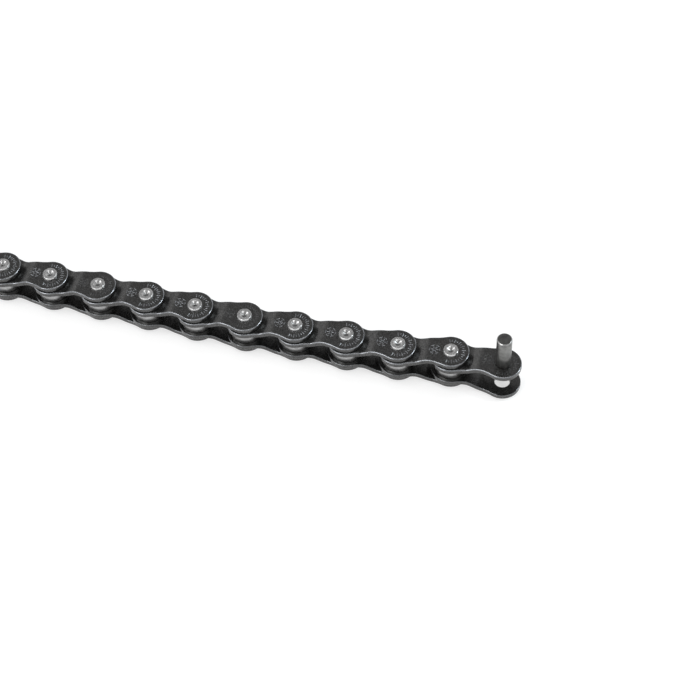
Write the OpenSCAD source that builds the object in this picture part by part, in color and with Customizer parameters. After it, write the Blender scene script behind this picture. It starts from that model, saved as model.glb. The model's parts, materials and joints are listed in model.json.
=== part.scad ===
// Half-link roller chain: a short run of identical cranked links, lying on its side.
// Every link has a narrow end, which carries a bush and a roller, and a wide end, whose
// two ears straddle the next link's narrow end and hold its pin.

/* [Chain] */
// Distance between neighbouring pin axes
pitch = 12.7; // [12.6:0.05:12.8]
// Number of links in the run
links = 12; // [2:1:12]
// Rest angle of each link to the one before it, in degrees
lay_bends = [0, 0, 0, -0.5, 0, -0.5, 0.5, 1.5, 0, 0, 4, -6.5]; // [-10:0.5:10]

/* [Plates] */
// Thickness of a link plate
plate_t = 1.3; // [1.1:0.05:1.4]
// Clear width between the narrow end's plates
inner_w = 3.3; // [3.2:0.05:3.5]
// Side gap between a wide ear and the narrow plate inside it
side_gap = 0.1; // [0.08:0.01:0.2]
// Radius of the narrow end
narrow_r = 4.8; // [4.6:0.05:4.9]
// Radius of the wide end
wide_r = 4.4; // [4.2:0.05:4.4]
// Radius of the hollow flank between the two ends
flank_r = 13; // [11:0.5:16]
// Distance from the narrow hole to the crank's first bend line
crank_start = 4.65; // [4.6:0.05:4.7]
// Distance between the crank's two bend lines
crank_len = 3; // [2.9:0.05:3.1]
// Radius of the crank's bends at the middle of the plate's thickness
bend_r = 4.4; // [4:0.1:4.4]

/* [Pins, bushes and rollers] */
// Diameter of a pin
pin_d = 3.66; // [3.5:0.01:3.7]
// Height of a riveted pin's end above the plate
head_h = 0.75; // [0.4:0.05:1]
// Radial clearance of a pin in its bush
pin_play = 0.05; // [0.03:0.01:0.08]
// Wall thickness of a bush
bush_wall = 0.7; // [0.6:0.05:0.8]
// Outside diameter of a roller
roller_d = 7.75; // [7.6:0.05:7.8]
// Radial clearance of a roller on its bush
roller_play = 0.08; // [0.05:0.01:0.1]
// End clearance of a roller between its plates
roller_end_gap = 0.06; // [0.04:0.01:0.1]
// Radius at the mouth of a pin's riveting dimple
dimple_r = 1.05; // [0.8:0.05:1.2]
// Depth of a pin's riveting dimple
dimple_depth = 0.55; // [0.3:0.05:0.7]
// Width of the chamfer round a riveted end
head_chamfer = 0.2; // [0.1:0.05:0.3]

/* [Joining pin] */
// Length of the joining pin
joining_len = 10.4; // [10.2:0.1:10.8]
// Depth to which the joining pin is started in the upper ear
joining_depth = 0.9; // [0.8:0.05:1.2]
// Radial clearance of the joining pin in the open ears
ear_play = 0.03; // [0.02:0.01:0.05]
// Chamfer at the joining pin's ends
joining_chamfer = 0.3; // [0.2:0.05:0.4]

/* [Hidden] */
pin_r = pin_d / 2;
bush_bore_r = pin_r + pin_play;
bush_r = bush_bore_r + bush_wall;
roller_bore_r = bush_r + roller_play;
ear_r = pin_r + ear_play;

// heights are measured from the chain's middle plane
narrow_z = inner_w / 2;
wide_z = narrow_z + plate_t + side_gap;
bush_half = narrow_z + plate_t;
plate_top = wide_z + plate_t;
pin_half = plate_top + head_h;
roller_half = narrow_z - roller_end_gap;
joining_base = plate_top - joining_depth;

// flank arc: tangent to both end circles
reach_n = narrow_r + flank_r;
reach_w = wide_r + flank_r;
flank_x = (reach_n^2 - reach_w^2 + pitch^2) / (2 * pitch);
flank_y = sqrt(reach_n^2 - flank_x^2);
narrow_tangent = atan2(flank_y, flank_x);
wide_tangent = atan2(flank_y, flank_x - pitch);

// crank: a ramp between two bends, which steps the plate outward by one plate and one gap
crank_rise = wide_z - narrow_z;
crank_angle = atan(crank_rise / crank_len);
bend_reach = bend_r * tan(crank_angle / 2);
bend_start = crank_start - bend_reach;
bend_end = crank_start + crank_len + bend_reach;
bend_steps = 4;
side_reach = 3 * pitch;

// lay of the run: heading of each link and place of each hole
headings = [for (i = 0, a = 0; i < links; a = a + (i + 1 < links ? lay_bends[i + 1] : 0), i = i + 1) a];
holes = [for (i = 0, p = [0, 0]; i < links;
              p = p + pitch * [cos(headings[i]), sin(headings[i])], i = i + 1) p];

function two_digits(i) = str(i < 10 ? "0" : "", i);
function name_of(piece, i) = str(piece, "_", two_digits(i));

LINK_PIECES = ["upper_plate", "lower_plate", "bush", "roller"];

arc_step = 6;

function arc(centre, r, from, to) =
    let (n = ceil(abs(to - from) / arc_step))
    [for (k = [0 : n]) let (a = from + (to - from) * k / n) centre + r * [cos(a), sin(a)]];

// Plan view of a link plate: two round ends joined by hollow flanks.
module plate_plan() {
    points = concat(
        arc([0, 0], narrow_r, narrow_tangent, 360 - narrow_tangent),
        arc([flank_x, -flank_y], flank_r, 180 - narrow_tangent, 180 - wide_tangent),
        arc([pitch, 0], wide_r, -wide_tangent, wide_tangent),
        arc([flank_x, flank_y], flank_r, 180 + wide_tangent, 180 + narrow_tangent)
    );
    polygon(points);
}

// One face of the cranked strip, seen from the side, at a distance off from its middle.
function strip_face(off) =
    let (low = narrow_z + plate_t / 2, high = wide_z + plate_t / 2)
    concat(
        [[-side_reach, low + off]],
        [for (k = [0 : bend_steps])
            let (a = crank_angle * k / bend_steps)
            [bend_start + (bend_r - off) * sin(a), low + bend_r - (bend_r - off) * cos(a)]],
        [for (k = [bend_steps : -1 : 0])
            let (a = crank_angle * k / bend_steps)
            [bend_end - (bend_r + off) * sin(a), high - bend_r + (bend_r + off) * cos(a)]],
        [[side_reach, high + off]]
    );

function backwards(list) = [for (k = [len(list) - 1 : -1 : 0]) list[k]];

// Side view of the cranked strip, extruded over the plate's width.
module cranked_strip() {
    rotate([90, 0, 0])
    linear_extrude(4 * narrow_r, center = true)
    polygon(concat(strip_face(plate_t / 2), backwards(strip_face(-plate_t / 2))));
}

module hole_at(x, r) {
    translate([x, 0, -pitch]) cylinder(r = r, h = 2 * pitch, $fn = 96);
}

// The upper plate of a link, with its narrow hole on the Z axis. The last link's ears
// are bored for the loose joining pin.
module link_plate(wide_hole_r) {
    difference() {
        intersection() {
            cranked_strip();
            translate([0, 0, -pitch]) linear_extrude(2 * pitch) plate_plan();
        }
        hole_at(0, bush_r);
        hole_at(pitch, wide_hole_r);
    }
}

module upper_plate(wide_hole_r) {
    color("#37383b") link_plate(wide_hole_r);
}

module lower_plate(wide_hole_r) {
    color("#37383b") mirror([0, 0, 1]) link_plate(wide_hole_r);
}

// A sleeve pressed into both narrow plates.
module bush() {
    color("#55565a")
    difference() {
        cylinder(r = bush_r, h = 2 * bush_half, center = true, $fn = 96);
        cylinder(r = bush_bore_r, h = pitch, center = true, $fn = 96);
    }
}

// A loose sleeve that turns on the bush between the plates.
module roller() {
    color("#8b8c90")
    difference() {
        cylinder(d = roller_d, h = 2 * roller_half, center = true, $fn = 96);
        cylinder(r = roller_bore_r, h = pitch, center = true, $fn = 96);
    }
}

// A pin with both ends spread by a conical punch.
module riveted_pin() {
    color("#c4c5c8")
    rotate_extrude($fn = 96)
    polygon([
        [0, dimple_depth - pin_half],
        [dimple_r, -pin_half],
        [pin_r - head_chamfer, -pin_half],
        [pin_r, head_chamfer - pin_half],
        [pin_r, pin_half - head_chamfer],
        [pin_r - head_chamfer, pin_half],
        [dimple_r, pin_half],
        [0, pin_half - dimple_depth]
    ]);
}

// The plain pin that closes the chain, standing in the upper ear.
module joining_pin() {
    color("#9a9b9e")
    translate([0, 0, joining_base])
    rotate_extrude($fn = 96)
    polygon([
        [0, 0],
        [pin_r - joining_chamfer, 0],
        [pin_r, joining_chamfer],
        [pin_r, joining_len - joining_chamfer],
        [pin_r - joining_chamfer, joining_len],
        [0, joining_len]
    ]);
}

// Moves a link's piece from the origin to its place in the run.
module at_link(i) {
    translate([holes[i - 1].x, holes[i - 1].y, 0]) rotate([0, 0, headings[i - 1]]) children();
}

for (i = [1 : links]) {
    wide_hole_r = i < links ? pin_r : ear_r;
    at_link(i) upper_plate(wide_hole_r);
    at_link(i) lower_plate(wide_hole_r);
    at_link(i) bush();
    at_link(i) roller();
}
for (i = [1 : links - 1]) {
    at_link(i) translate([pitch, 0, 0]) riveted_pin();
}
at_link(links) translate([pitch, 0, 0]) joining_pin();
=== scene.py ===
import json
import math

import bpy
from mathutils import Matrix, Vector
from mathutils.geometry import delaunay_2d_cdt

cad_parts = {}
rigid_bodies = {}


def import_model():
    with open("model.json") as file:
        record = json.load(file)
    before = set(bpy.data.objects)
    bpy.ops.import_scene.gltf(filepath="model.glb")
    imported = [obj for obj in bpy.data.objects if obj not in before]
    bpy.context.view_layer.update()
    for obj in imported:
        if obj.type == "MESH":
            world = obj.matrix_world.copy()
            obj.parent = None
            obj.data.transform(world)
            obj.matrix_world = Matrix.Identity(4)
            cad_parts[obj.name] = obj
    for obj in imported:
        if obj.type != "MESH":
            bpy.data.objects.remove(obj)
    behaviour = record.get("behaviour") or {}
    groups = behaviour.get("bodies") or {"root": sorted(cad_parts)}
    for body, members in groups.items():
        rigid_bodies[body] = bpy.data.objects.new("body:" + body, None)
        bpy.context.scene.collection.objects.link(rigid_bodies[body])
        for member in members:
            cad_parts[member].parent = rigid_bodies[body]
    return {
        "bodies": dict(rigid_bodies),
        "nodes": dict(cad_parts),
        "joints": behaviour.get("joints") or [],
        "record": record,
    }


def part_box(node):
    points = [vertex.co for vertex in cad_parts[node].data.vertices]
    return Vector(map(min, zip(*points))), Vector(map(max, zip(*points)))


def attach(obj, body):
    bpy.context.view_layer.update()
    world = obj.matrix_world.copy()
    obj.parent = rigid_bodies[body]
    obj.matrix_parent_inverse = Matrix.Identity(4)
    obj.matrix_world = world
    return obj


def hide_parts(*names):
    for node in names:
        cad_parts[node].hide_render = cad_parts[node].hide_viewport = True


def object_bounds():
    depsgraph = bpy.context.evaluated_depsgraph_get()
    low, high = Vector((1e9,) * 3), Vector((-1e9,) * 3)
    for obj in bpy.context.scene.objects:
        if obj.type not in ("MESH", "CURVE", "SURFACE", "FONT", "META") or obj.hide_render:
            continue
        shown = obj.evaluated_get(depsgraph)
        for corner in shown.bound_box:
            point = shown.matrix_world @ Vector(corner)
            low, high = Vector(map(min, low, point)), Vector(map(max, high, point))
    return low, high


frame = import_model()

cad_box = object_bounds()
record = frame["record"]

# A half-link chain lying on its side. All its links are the same cranked link, whose narrow end
# sits between the wide ears of the link before it. Plates and pins are modelled in a link's own
# millimetres and placed by the frame's pin axes; bushes and rollers keep their CAD meshes.

# ---------------------------------------------------------------- sizes, in millimetres
MM = 0.001
PITCH = 12.7
PLATE_T = 1.3
INNER_W = 3.3            # clear width between the narrow ends
SIDE_GAP = 0.1           # between a wide ear and the narrow plate inside it
NARROW_R = 4.8
WIDE_R = 4.4
FLANK_R = 13.0
CRANK_START = 4.65       # from the narrow hole to the first bend line
CRANK_LEN = 3.0          # between the two bend lines
BEND_R = 4.4             # radius of the crank's bends at mid-thickness
PIN_R = 1.83
PIN_PLAY = 0.05
BUSH_WALL = 0.7
EAR_PLAY = 0.03          # play of the loose joining pin in the last ears
HEAD_H = 0.75            # how far a riveted end stands out of the plate
DIMPLE_R = 1.05
DIMPLE_DEPTH = 0.55
HEAD_TAPER = 0.16        # how far a riveted end draws in towards its top
TAPER_HEIGHT = 0.34
JOINING_LEN = 10.4
JOINING_CHAMFER = 0.22
OUTER_EDGE = 0.28        # rounding of the rolled-over outer edge of a stamped plate
INNER_EDGE = 0.16        # rounding of the edge on the other face
HOLE_EDGE = 0.08         # rounding of a hole's edges
BUSH_EDGE = 0.08
ROLLER_EDGE = 0.16
MARK_HEIGHT = 0.08
MARK_WIDTH = 0.25
FAINT_STAMPS = (4, 7, 12)  # links whose stamped decoration hardly shows

NARROW_Z = INNER_W / 2   # inner face of a narrow end, from the chain's middle plane
WIDE_Z = NARROW_Z + PLATE_T + SIDE_GAP
PIN_HALF = WIDE_Z + PLATE_T + HEAD_H
BUSH_R = PIN_R + PIN_PLAY + BUSH_WALL
EAR_R = PIN_R + EAR_PLAY

LINKS = sum(1 for name in frame["bodies"] if name.startswith("link_"))


# ---------------------------------------------------------------- places, from the frame
def two(i):
    return f"{i:02d}"


def hole_places():
    """The pin axes in order along the run, in metres, on the middle plane."""
    mounts = {m["name"]: Vector(m["pos_m"]) for m in record["mounts"]}
    joints = {j["name"]: j for j in frame["joints"]}
    places = [mounts["start_bush_bore"]]
    places += [Vector(joints[f"pin_hinge_{two(i)}"]["pos_m"]) for i in range(1, LINKS)]
    end = mounts["end_ear_bore"]
    places.append(Vector((end.x, end.y, 0)))
    return places


HOLES = hole_places()


def link_matrix(i):
    """Takes a link's own millimetres, narrow hole at the origin, to its place in the run, in metres."""
    start, end = HOLES[i - 1], HOLES[i]
    heading = math.atan2(end.y - start.y, end.x - start.x)
    return Matrix.Translation(start) @ Matrix.Rotation(heading, 4, "Z") @ Matrix.Scale(MM, 4)


# ---------------------------------------------------------------- mesh helpers
def new_object(name, verts, faces, normals=None, matrix=None, paint=None):
    """A smooth mesh; paint gives each vertex a value in one or more named attributes."""
    mesh = bpy.data.meshes.new(name)
    mesh.from_pydata(verts, [], faces)
    for layer, values in (paint or {}).items():
        mesh.attributes.new(layer, "FLOAT", "POINT").data.foreach_set("value", values)
    mesh.validate()
    mesh.update()
    mesh.shade_smooth()
    if normals:
        mesh.normals_split_custom_set_from_vertices(normals)
    if matrix is not None:
        mesh.transform(matrix)
    obj = bpy.data.objects.new(name, mesh)
    bpy.context.scene.collection.objects.link(obj)
    return obj


def settle(obj, material, body, node):
    """Gives a piece its material and body, and lets it stand in for its CAD node."""
    obj.data.materials.append(material)
    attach(obj, body)
    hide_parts(node)


# ---------------------------------------------------------------- plate shape
FLANK_X = ((NARROW_R + FLANK_R) ** 2 - (WIDE_R + FLANK_R) ** 2 + PITCH ** 2) / (2 * PITCH)
FLANK_Y = math.sqrt((NARROW_R + FLANK_R) ** 2 - FLANK_X ** 2)
NARROW_TANGENT = math.atan2(FLANK_Y, FLANK_X)
WIDE_TANGENT = math.atan2(FLANK_Y, FLANK_X - PITCH)
CRANK_ANGLE = math.atan((WIDE_Z - NARROW_Z) / CRANK_LEN)
BEND_START = CRANK_START - BEND_R * math.tan(CRANK_ANGLE / 2)
BEND_END = CRANK_START + CRANK_LEN + BEND_R * math.tan(CRANK_ANGLE / 2)
LOW_MIDDLE = NARROW_Z + PLATE_T / 2
HIGH_MIDDLE = WIDE_Z + PLATE_T / 2


def arc(cx, cy, r, start, end, step, outward):
    """Points and outward normals about step degrees apart along an arc, without its last point.
    outward is -1 where the plate lies outside the arc's circle."""
    count = max(2, math.ceil(abs(end - start) / math.radians(step)))
    points = []
    for k in range(count):
        a = start + (end - start) * k / count
        c, s = math.cos(a), math.sin(a)
        points.append(((cx + r * c, cy + r * s), (outward * c, outward * s)))
    return points


def plate_outline():
    """Two round ends joined by hollow flanks."""
    round_step, flank_step = 4.5, 1.8
    half_turn = math.pi
    return (
        arc(0, 0, NARROW_R, NARROW_TANGENT, 2 * half_turn - NARROW_TANGENT, round_step, 1)
        + arc(FLANK_X, -FLANK_Y, FLANK_R,
              half_turn - NARROW_TANGENT, half_turn - WIDE_TANGENT, flank_step, -1)
        + arc(PITCH, 0, WIDE_R, -WIDE_TANGENT, WIDE_TANGENT, round_step, 1)
        + arc(FLANK_X, FLANK_Y, FLANK_R,
              half_turn + WIDE_TANGENT, half_turn + NARROW_TANGENT, flank_step, -1)
    )


def hole_outline(x, r):
    return arc(x, 0, r, 2 * math.pi, 0, 7.5, -1)


def strip_height(x, off):
    """Height and slope of the cranked strip at x, on the face at distance off from its middle."""
    first_r, second_r = BEND_R - off, BEND_R + off
    steepest = math.sin(CRANK_ANGLE)
    if x <= BEND_START:
        return LOW_MIDDLE + off, 0.0
    s = (x - BEND_START) / first_r
    if s < steepest:
        c = math.sqrt(1 - s * s)
        return LOW_MIDDLE + BEND_R - first_r * c, s / c
    if x >= BEND_END:
        return HIGH_MIDDLE + off, 0.0
    s = (BEND_END - x) / second_r
    if s < steepest:
        c = math.sqrt(1 - s * s)
        return HIGH_MIDDLE - BEND_R + second_r * c, s / c
    slope = math.tan(CRANK_ANGLE)
    return LOW_MIDDLE + off / math.cos(CRANK_ANGLE) + (x - CRANK_START) * slope, slope


class PlateBuilder:
    """Collects vertices, faces, analytic normals and the paler edge paint of one cranked plate; the edge
    paint is partly rubbed plating and partly a painted highlight.
    """

    def __init__(self, wide_hole_r):
        self.verts, self.normals, self.worn, self.faces = [], [], [], []
        self.loops = [plate_outline(), hole_outline(0, BUSH_R), hole_outline(PITCH, wide_hole_r)]

    def vertex(self, x, y, off, flat, nx=0.0, ny=0.0, worn=0.0):
        """A vertex whose normal leans from the face (flat = 1 or -1) to the plan normal (flat = 0)."""
        z, slope = strip_height(x, off)
        face = Vector((-slope, 0, 1)).normalized() * flat
        side = Vector((nx, ny, 0)) * math.sqrt(max(0.0, 1 - flat * flat))
        self.verts.append((x, y, z))
        self.normals.append((face + side).normalized())
        self.worn.append(worn)
        return len(self.verts) - 1

    def ring(self, loop, inset, off, flat, worn):
        return [self.vertex(x - nx * inset, y - ny * inset, off, flat, nx, ny, worn)
                for (x, y), (nx, ny) in loop]

    def wall(self, loop, outer_round, inner_round, edge_wear_and_highlight):
        """The rounded edges and side wall along a loop; returns its rings on the two faces."""
        # Each rounding is painted paler towards its middle, where the lamps' highlights fall: partly
        # rubbed plating, partly a painted highlight. The rounding on the other face gets less of it.
        steps, inner_wear_and_highlight = 4, 0.6
        rings = []
        for k in range(steps + 1):
            a = math.pi / 2 * k / steps
            rings.append(self.ring(loop, outer_round * (1 - math.sin(a)),
                                   PLATE_T / 2 - outer_round * (1 - math.cos(a)), math.cos(a),
                                   edge_wear_and_highlight * max(0.0, math.sin(2 * a)) ** 2))
        for k in range(steps + 1):
            a = math.pi / 2 * k / steps
            rings.append(self.ring(loop, inner_round * (1 - math.cos(a)),
                                   -PLATE_T / 2 + inner_round * (1 - math.sin(a)), -math.sin(a),
                                   inner_wear_and_highlight * edge_wear_and_highlight * max(0.0, math.sin(2 * a)) ** 2))
        n = len(loop)
        for upper, lower in zip(rings, rings[1:]):
            for k in range(n):
                j = (k + 1) % n
                self.faces.append((upper[k], lower[k], lower[j], upper[j]))
        return rings[0], rings[-1]

    def cap(self, rings, off, flat):
        """Fills a face between the outline's ring and the holes' rings, with rows along the crank."""
        index = [v for ring in rings for v in ring]
        hole_of = {v: k for k, ring in enumerate(rings) if k > 0 for v in ring}
        points = [Vector(self.verts[v][:2]) for v in index]
        edges, start = [], 0
        for ring in rings:
            n = len(ring)
            edges += [(start + k, start + (k + 1) % n) for k in range(n)]
            start += n
        row_gap, point_gap, margin = 0.15, 0.9, 0.35
        x = BEND_START - row_gap
        while x <= BEND_END + row_gap:
            half = FLANK_Y - math.sqrt(FLANK_R ** 2 - (x - FLANK_X) ** 2) - OUTER_EDGE - margin
            count = max(2, round(2 * half / point_gap))
            for k in range(count + 1):
                y = -half + 2 * half * k / count
                index.append(self.vertex(x, y, off, flat))
                points.append(Vector((x, y)))
            x += row_gap
        out = delaunay_2d_cdt(points, edges, [], 1, 1e-6)
        origin = [index[o[0]] for o in out[3]]
        for face in out[2]:
            a, b, c = (origin[v] for v in face)
            in_a_hole = hole_of.get(a) and hole_of.get(a) == hole_of.get(b) == hole_of.get(c)
            if in_a_hole:
                continue
            pa, pb, pc = (self.verts[v] for v in (a, b, c))
            cross = (pb[0] - pa[0]) * (pc[1] - pa[1]) - (pb[1] - pa[1]) * (pc[0] - pa[0])
            self.faces.append((a, b, c) if cross * flat > 0 else (a, c, b))

    def build(self):
        tops, bottoms = [], []
        for k, loop in enumerate(self.loops):
            # The outline's edges get the full paler paint, partly rubbed plating and partly a painted
            # highlight; the holes' edges get less.
            outer, inner, edge_wear_and_highlight = (OUTER_EDGE, INNER_EDGE, 1.0) if k == 0 else (HOLE_EDGE, HOLE_EDGE, 0.4)
            top, bottom = self.wall(loop, outer, inner, edge_wear_and_highlight)
            tops.append(top)
            bottoms.append(bottom)
        self.cap(tops, PLATE_T / 2, 1)
        self.cap(bottoms, -PLATE_T / 2, -1)


def bar_outline(cx, cy, angle, length, width):
    """Points and outward normals round a bar with round ends, its length along angle."""
    points, steps = [], 4
    half, r = length / 2 - width / 2, width / 2
    along = Vector((math.cos(angle), math.sin(angle)))
    across = Vector((-along.y, along.x))
    for end, base in ((1, -math.pi / 2), (-1, math.pi / 2)):
        for k in range(steps + 1):
            a = base + math.pi * k / steps
            out = along * math.cos(a) + across * math.sin(a)
            points.append((Vector((cx, cy)) + along * end * half + out * r, out))
    return points


def add_bead(builder, cx, cy, angle, length, height, worn):
    """A raised stroke with a domed section on the outer face, sunk a little into it."""
    width = MARK_WIDTH
    sink, steps, crown = 0.04, 4, math.radians(75)
    levels = [(0.0, -sink, 0.0)]
    levels += [(width / 2 * (1 - math.cos(a)), height * math.sin(a), a)
               for a in (crown * k / steps for k in range(steps + 1))]
    rings = []
    for inset, lift, a in levels:
        ring = []
        for point, out in bar_outline(cx, cy, angle, length - 2 * inset, width - 2 * inset):
            z, _ = strip_height(point.x, PLATE_T / 2)
            side, up = math.cos(a) / (width / 2), math.sin(a) / height
            builder.verts.append((point.x, point.y, z + lift))
            builder.normals.append(Vector((out.x * side, out.y * side, up)).normalized())
            # The stroke's raised part is painted paler: partly rubbed plating, partly a painted highlight
            # that makes it read as a light stroke.
            builder.worn.append(worn if lift > 0 else 0.0)
            ring.append(len(builder.verts) - 1)
        rings.append(ring)
    n = len(rings[0])
    for low, high in zip(rings, rings[1:]):
        for k in range(n):
            j = (k + 1) % n
            builder.faces.append((low[k], low[j], high[j], high[k]))
    builder.faces.append(tuple(rings[-1]))
    builder.faces.append(tuple(reversed(rings[0])))


def add_marks(builder, faint):
    """Plain stamped decoration: an arc of strokes round the pin, and a small rosette before it."""
    # Faint strokes are lower and painted less pale; the paler paint on strokes is partly a painted
    # highlight.
    height, worn = (MARK_HEIGHT / 4, 0.15) if faint else (MARK_HEIGHT, 0.65)
    arc_r, lengths, count, spread = 3.05, (1.0, 0.55), 19, math.radians(205)
    for k in range(count):
        a = spread * (k / (count - 1) - 0.5)
        x, y = PITCH + arc_r * math.cos(a), arc_r * math.sin(a)
        add_bead(builder, x, y, a, lengths[k % 2], height, worn)
    rosette_x, petals = PITCH - 3.85, 6
    inner_r, inner_len, outer_r, outer_len = 0.55, 0.7, 1.2, 0.85
    for k in range(petals):
        a = 2 * math.pi * k / petals
        c, s = math.cos(a), math.sin(a)
        add_bead(builder, rosette_x + inner_r * c, inner_r * s, a, inner_len, height, worn)
        add_bead(builder, rosette_x + outer_r * c, outer_r * s, a + math.pi / 2, outer_len, height, worn)


def make_plate(name, i, lower, material):
    builder = PlateBuilder(PIN_R if i < LINKS else EAR_R)
    builder.build()
    add_marks(builder, i in FAINT_STAMPS)
    verts, faces, normals = builder.verts, builder.faces, builder.normals
    if lower:
        verts = [(x, y, -z) for x, y, z in verts]
        faces = [tuple(reversed(f)) for f in faces]
        normals = [Vector((n.x, n.y, -n.z)) for n in normals]
    obj = new_object(name, verts, faces, normals, link_matrix(i), {"worn": builder.worn})
    side = "lower" if lower else "upper"
    settle(obj, material, f"link_{two(i)}", f"{side}_plate_{two(i)}")


# ---------------------------------------------------------------- turned pieces
def rounded(profile, steps=4):
    """Replaces each (r, z, radius) corner of a profile by an arc; returns (r, z) points."""
    points = []
    for k, (r, z, radius) in enumerate(profile):
        if radius == 0 or k in (0, len(profile) - 1):
            points.append((r, z))
            continue
        here = Vector((r, z))
        to_last = (Vector(profile[k - 1][:2]) - here).normalized()
        to_next = (Vector(profile[k + 1][:2]) - here).normalized()
        half = to_last.angle(to_next) / 2
        reach = radius / math.tan(half)
        centre = here + (to_last + to_next).normalized() * (radius / math.sin(half))
        first, last = here + to_last * reach - centre, here + to_next * reach - centre
        sweep = first.angle_signed(last)
        for s in range(steps + 1):
            turned = first.copy()
            turned.rotate(Matrix.Rotation(-sweep * s / steps, 2))
            points.append(tuple(centre + turned))
    return points


def lathe(profile, segments=72):
    """A solid turned about Z from a profile that starts and ends on the axis, low end first."""
    verts, faces = [], []
    rings = []
    for r, z in profile:
        if r < 1e-6:
            verts.append((0, 0, z))
            rings.append([len(verts) - 1])
            continue
        ring = []
        for k in range(segments):
            a = 2 * math.pi * k / segments
            verts.append((r * math.cos(a), r * math.sin(a), z))
            ring.append(len(verts) - 1)
        rings.append(ring)
    for low, high in zip(rings, rings[1:]):
        for k in range(segments):
            j = (k + 1) % segments
            if len(low) == 1:
                faces.append((low[0], high[j], high[k]))
            elif len(high) == 1:
                faces.append((low[k], low[j], high[0]))
            else:
                faces.append((low[k], low[j], high[j], high[k]))
    return verts, faces


def smooth_by_angle(obj, degrees):
    obj.data.set_sharp_from_angle(angle=math.radians(degrees))


def make_riveted_pin(i, material):
    """A pin with a conical dimple and a tapered side at each end. The dimple's middle is painted dark as
    painted shade in the recess; the sides are painted pale, partly burnish and partly a painted highlight.
    """
    tip_r, tip_z = 0.12, PIN_HALF - DIMPLE_DEPTH
    slope_r = 0.5  # an extra ring on the cone, for the dimple's painted shade to fade out over
    slope_z = PIN_HALF - DIMPLE_DEPTH * (1 - slope_r / DIMPLE_R)
    end = [(0, tip_z, 0), (tip_r, tip_z, 0.05), (slope_r, slope_z, 0), (DIMPLE_R, PIN_HALF, 0.12),
           (PIN_R - HEAD_TAPER, PIN_HALF, 0.08), (PIN_R, PIN_HALF - TAPER_HEIGHT, 0.15)]
    profile = [(r, -z, rr) for r, z, rr in end] + [(r, z, rr) for r, z, rr in reversed(end)]
    verts, faces = lathe(rounded(profile, 5))
    side_r, side_z = PIN_R - HEAD_TAPER - 0.1, PIN_HALF - 0.01
    # Painted shade, darkest at the dimple's middle and fading out towards its rim.
    painted_shade = [max(0.0, 1 - math.hypot(x, y) / DIMPLE_R) for x, y, z in verts]
    # The tapered sides are painted pale: partly burnish, partly a painted highlight on the crescent.
    worn = [0.75 if math.hypot(x, y) > side_r and abs(z) < side_z else 0.0 for x, y, z in verts]
    place = link_matrix(i) @ Matrix.Translation((PITCH, 0, 0))
    obj = new_object(f"riveted_pin_{two(i)}", verts, faces, None, place, {"painted_shade": painted_shade, "worn": worn})
    smooth_by_angle(obj, 50)
    settle(obj, material, f"link_{two(i)}", f"pin_{two(i)}")


def make_joining_pin(material):
    """The plain loose pin: flat ends darkened with painted shade, chamfers made paler with a painted
    highlight.
    """
    low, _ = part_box("joining_pin")
    base = low.z / MM
    top = base + JOINING_LEN
    chamfer_r, tolerance = PIN_R - JOINING_CHAMFER, 0.005
    profile = [(0, base, 0), (chamfer_r, base, 0.06), (PIN_R, base + JOINING_CHAMFER, 0.12),
               (PIN_R, top - JOINING_CHAMFER, 0.12), (chamfer_r, top, 0.06), (0, top, 0)]
    verts, faces = lathe(rounded(profile, 3))
    painted_shade, worn = [], []
    for x, y, z in verts:
        on_end = min(z - base, top - z) < 1e-4
        on_side = math.hypot(x, y) > PIN_R - tolerance
        # The flat ends get painted shade, the chamfers a painted highlight.
        painted_shade.append(0.6 if on_end else 0.0)
        worn.append(0.0 if on_end or on_side else 0.3)
    place = link_matrix(LINKS) @ Matrix.Translation((PITCH, 0, 0))
    obj = new_object("loose_joining_pin", verts, faces, None, place, {"painted_shade": painted_shade, "worn": worn})
    smooth_by_angle(obj, 30)
    settle(obj, material, "joining_pin_slide", "joining_pin")


def dress_cad_node(name, material, edge):
    """A CAD sleeve keeps its mesh; it gets its material and slightly broken edges."""
    obj = frame["nodes"][name]
    obj.data.materials.clear()
    obj.data.materials.append(material)
    weld = obj.modifiers.new("weld", "WELD")
    weld.merge_threshold = 1e-6
    bevel = obj.modifiers.new("edges", "BEVEL")
    bevel.width = edge * MM
    bevel.segments = 3
    bevel.limit_method = "ANGLE"
    bevel.angle_limit = math.radians(50)


# ---------------------------------------------------------------- materials
def new_material(name):
    material = bpy.data.materials.new(name)
    material.use_nodes = True
    nodes, links = material.node_tree.nodes, material.node_tree.links
    return material, nodes, links, nodes["Principled BSDF"]


def add_noise(nodes, links, scale, detail, roughness=0.5, stretch=None):
    coords = nodes.new("ShaderNodeTexCoord")
    noise = nodes.new("ShaderNodeTexNoise")
    noise.inputs["Scale"].default_value = scale
    noise.inputs["Detail"].default_value = detail
    noise.inputs["Roughness"].default_value = roughness
    if stretch:
        mapping = nodes.new("ShaderNodeMapping")
        mapping.inputs["Scale"].default_value = stretch
        links.new(coords.outputs["Object"], mapping.inputs["Vector"])
        links.new(mapping.outputs["Vector"], noise.inputs["Vector"])
    else:
        links.new(coords.outputs["Object"], noise.inputs["Vector"])
    return noise


def add_range(nodes, links, source, low, high):
    ranger = nodes.new("ShaderNodeMapRange")
    ranger.inputs["From Min"].default_value = 0.3
    ranger.inputs["From Max"].default_value = 0.7
    ranger.inputs["To Min"].default_value = low
    ranger.inputs["To Max"].default_value = high
    links.new(source, ranger.inputs["Value"])
    return ranger.outputs["Result"]


def add_colours(nodes, links, source, low, high):
    ramp = nodes.new("ShaderNodeValToRGB")
    ramp.color_ramp.elements[0].position = 0.35
    ramp.color_ramp.elements[0].color = (*low, 1)
    ramp.color_ramp.elements[1].position = 0.65
    ramp.color_ramp.elements[1].color = (*high, 1)
    links.new(source, ramp.inputs["Fac"])
    return ramp.outputs["Color"]


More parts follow.
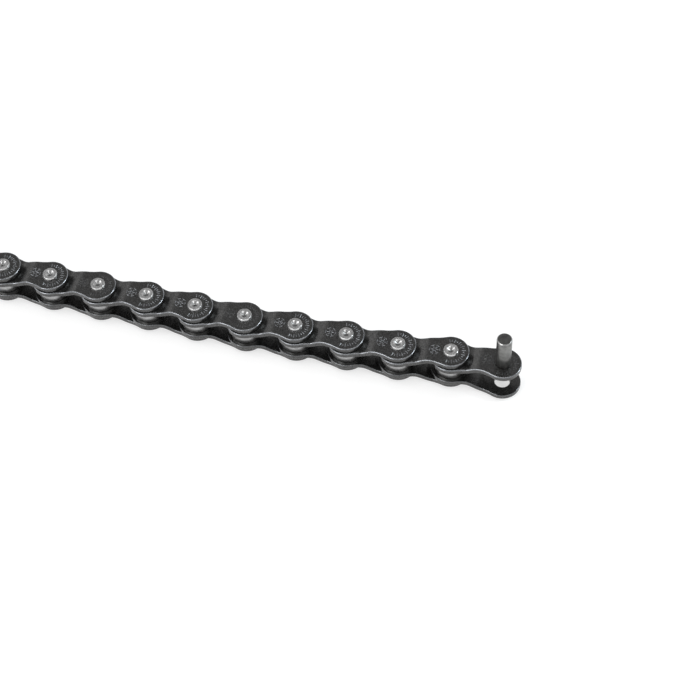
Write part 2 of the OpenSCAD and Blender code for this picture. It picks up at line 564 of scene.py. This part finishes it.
def add_coat(nodes, links, layer, under, colour, patches=None):
    """Mixes a colour over another one where the painted layer is, broken up by patches."""
    cover = nodes.new("ShaderNodeAttribute")
    cover.attribute_name = layer
    amount = cover.outputs["Fac"]
    if patches:
        broken = nodes.new("ShaderNodeMath")
        broken.operation = "MULTIPLY"
        links.new(amount, broken.inputs[0])
        links.new(patches, broken.inputs[1])
        amount = broken.outputs["Value"]
    mix = nodes.new("ShaderNodeMix")
    mix.data_type = "RGBA"
    links.new(amount, mix.inputs["Factor"])
    links.new(under, mix.inputs["A"])
    mix.inputs["B"].default_value = (*colour, 1)
    return mix.outputs["Result"]


def add_bump(nodes, links, source, target, distance, strength=1.0):
    bump = nodes.new("ShaderNodeBump")
    bump.inputs["Distance"].default_value = distance * MM
    bump.inputs["Strength"].default_value = strength
    links.new(source, bump.inputs["Height"])
    links.new(bump.outputs["Normal"], target.inputs["Normal"])


def black_plate_material():
    """Black-plated stamped steel: dark satin with a tumbling grain, paler on the edges, where rubbed
    plating and a painted highlight are mixed in.
    """
    material, nodes, links, shader = new_material("black_plating")
    # The third colour is the pale, slightly blue edge paint: partly bare steel, partly a painted
    # highlight.
    dark, light, bared_and_highlight = (0.038, 0.038, 0.0375), (0.136, 0.135, 0.134), (0.35, 0.365, 0.39)
    speck = add_noise(nodes, links, 4200, 4, 0.6)
    plating = add_colours(nodes, links, speck.outputs["Fac"], dark, light)
    patch = add_noise(nodes, links, 700, 3, 0.6)
    patches = add_range(nodes, links, patch.outputs["Fac"], 0.55, 1.0)
    links.new(add_coat(nodes, links, "worn", plating, bared_and_highlight, patches), shader.inputs["Base Color"])
    shader.inputs["Metallic"].default_value = 0.94
    links.new(add_range(nodes, links, patch.outputs["Fac"], 0.18, 0.3), shader.inputs["Roughness"])
    add_bump(nodes, links, speck.outputs["Fac"], shader, 0.012, 0.5)
    return material


def steel_material(name, dark, light, rough, grain_mm, stretch=None):
    """Bare steel with uneven polish, and on painted vertices dark painted shade, or a paler edge that is
    partly burnish and partly a painted highlight.
    rough is its lowest and highest roughness; stretch draws the grain out along one axis."""
    material, nodes, links, shader = new_material(name)
    # The first colour is painted shade; the second is partly burnish and partly a painted highlight.
    painted_shade, burnish_and_highlight = (0.03, 0.03, 0.03), (0.8, 0.8, 0.8)
    tint = add_noise(nodes, links, 800, 3)
    grain = add_noise(nodes, links, 3800, 4, 0.6, stretch)
    bare = add_colours(nodes, links, tint.outputs["Fac"], dark, light)
    patches = add_range(nodes, links, grain.outputs["Fac"], 0.5, 1.0)
    with_shade = add_coat(nodes, links, "painted_shade", bare, painted_shade, patches)
    links.new(add_coat(nodes, links, "worn", with_shade, burnish_and_highlight), shader.inputs["Base Color"])
    shader.inputs["Metallic"].default_value = 1.0
    links.new(add_range(nodes, links, grain.outputs["Fac"], *rough), shader.inputs["Roughness"])
    add_bump(nodes, links, grain.outputs["Fac"], shader, grain_mm, 0.5)
    return material


def floor_material():
    """A white acrylic sheet lit from below as well, which keeps the shadows pale."""
    material, nodes, links, shader = new_material("pale_floor")
    shader.inputs["Roughness"].default_value = 0.9
    shader.inputs["Specular IOR Level"].default_value = 0.1
    shader.inputs["Emission Color"].default_value = (1, 1, 1, 1)
    shader.inputs["Emission Strength"].default_value = 0.59
    speck = add_noise(nodes, links, 60, 2)
    links.new(add_colours(nodes, links, speck.outputs["Fac"], (0.47, 0.47, 0.47), (0.48, 0.48, 0.48)),
              shader.inputs["Base Color"])
    return material


# ---------------------------------------------------------------- stage
def make_floor(material):
    """A sheet wide enough to reach past the edge of every view."""
    level, size = cad_box[0][2], 6.0
    corners = [(-size, -size, level), (size, -size, level), (size, size, level), (-size, size, level)]
    obj = new_object("floor", corners, [(0, 1, 2, 3)])
    obj.data.materials.append(material)


def make_camera():
    """Looks down at the joining pin's end of the run from the front, a little from the right."""
    azimuth, elevation, roll = math.radians(18.83), math.radians(54.24), math.radians(4.03)
    distance, focal_widths = 387.5, 2.3397  # millimetres, and the focal length in image widths
    target = HOLES[9] + Vector((2.26, -4.57, PIN_HALF)) * MM
    forward = Vector((-math.sin(azimuth) * math.cos(elevation), math.cos(azimuth) * math.cos(elevation),
                      -math.sin(elevation)))
    data = bpy.data.cameras.new("camera")
    data.sensor_width = 36
    data.lens = focal_widths * data.sensor_width
    data.clip_start = 0.01
    camera = bpy.data.objects.new("camera", data)
    camera.location = target - forward * distance * MM
    aim = forward.to_track_quat("-Z", "Y").to_matrix().to_4x4()
    camera.rotation_euler = (aim @ Matrix.Rotation(-roll, 4, "Z")).to_euler()
    bpy.context.scene.collection.objects.link(camera)
    bpy.context.scene.camera = camera


def add_softbox(name, place, target, size, power, colour):
    data = bpy.data.lights.new(name, "AREA")
    data.shape = "RECTANGLE"
    data.size, data.size_y = size
    data.energy = power
    data.color = colour
    light = bpy.data.objects.new(name, data)
    light.location = place
    light.rotation_euler = (target - place).to_track_quat("-Z", "Y").to_euler()
    bpy.context.scene.collection.objects.link(light)


def make_world():
    """A light tent: bright walls low down, dim towards the open top."""
    world = bpy.data.worlds.new("studio")
    world.use_nodes = True
    nodes, links = world.node_tree.nodes, world.node_tree.links
    coords = nodes.new("ShaderNodeTexCoord")
    split = nodes.new("ShaderNodeSeparateXYZ")
    ramp = nodes.new("ShaderNodeValToRGB")
    stops = ramp.color_ramp.elements
    for height in (0.3, 0.46, 0.63, 0.76):
        stops.new(height)
    for stop, grey in zip(stops, (0.3, 0.7, 1.12, 0.52, 0.4, 0.4)):
        stop.color = (grey, grey, grey, 1)
    links.new(coords.outputs["Generated"], split.inputs["Vector"])
    links.new(split.outputs["Z"], ramp.inputs["Fac"])
    links.new(ramp.outputs["Color"], nodes["Background"].inputs["Color"])
    bpy.context.scene.world = world


def make_lights():
    """Softboxes at metre offsets from the run's middle, with their sizes in metres and powers in watts."""
    white, cool = (1, 1, 1), (0.88, 0.96, 1.0)
    centre = HOLES[LINKS // 2]
    for name, offset, size, power, colour in (
        ("overhead_softbox", (-0.05, 0.05, 1.05), (0.35, 0.3), 1.5, white),
        ("top_softbox", (0.36, -0.15, 0.92), (0.3, 0.3), 0.8, white),
        ("right_softbox", (0.8, 0.29, 0.53), (0.32, 0.32), 3.8, cool),
        ("front_softbox", (-0.4, -0.72, 0.57), (0.5, 0.4), 3.2, white),
        ("left_softbox", (-0.71, -0.05, 0.7), (0.3, 0.3), 1.1, white),
    ):
        add_softbox(name, centre + Vector(offset), centre, size, power, colour)


# ---------------------------------------------------------------- build
def build():
    plating = black_plate_material()
    pin_steel = steel_material("pin_steel", (0.46, 0.46, 0.46), (0.6, 0.6, 0.6), (0.2, 0.31), 0.002)
    joining_steel = steel_material("joining_steel", (0.14, 0.14, 0.136), (0.22, 0.22, 0.213),
                                   (0.27, 0.4), 0.008, (1, 1, 0.15))
    roller_steel = steel_material("roller_steel", (0.34, 0.34, 0.34), (0.44, 0.44, 0.44),
                                  (0.26, 0.38), 0.004, (1, 1, 0.2))
    bush_steel = steel_material("bush_steel", (0.2, 0.2, 0.21), (0.3, 0.3, 0.31), (0.3, 0.45), 0.008)
    for i in range(1, LINKS + 1):
        make_plate(f"cranked_upper_plate_{two(i)}", i, False, plating)
        make_plate(f"cranked_lower_plate_{two(i)}", i, True, plating)
        dress_cad_node(f"bush_{two(i)}", bush_steel, BUSH_EDGE)
        dress_cad_node(f"roller_{two(i)}", roller_steel, ROLLER_EDGE)
        if i < LINKS:
            make_riveted_pin(i, pin_steel)
    make_joining_pin(joining_steel)
    make_floor(floor_material())
    make_camera()
    make_world()
    make_lights()
    bpy.context.scene.view_settings.view_transform = "Standard"


build()
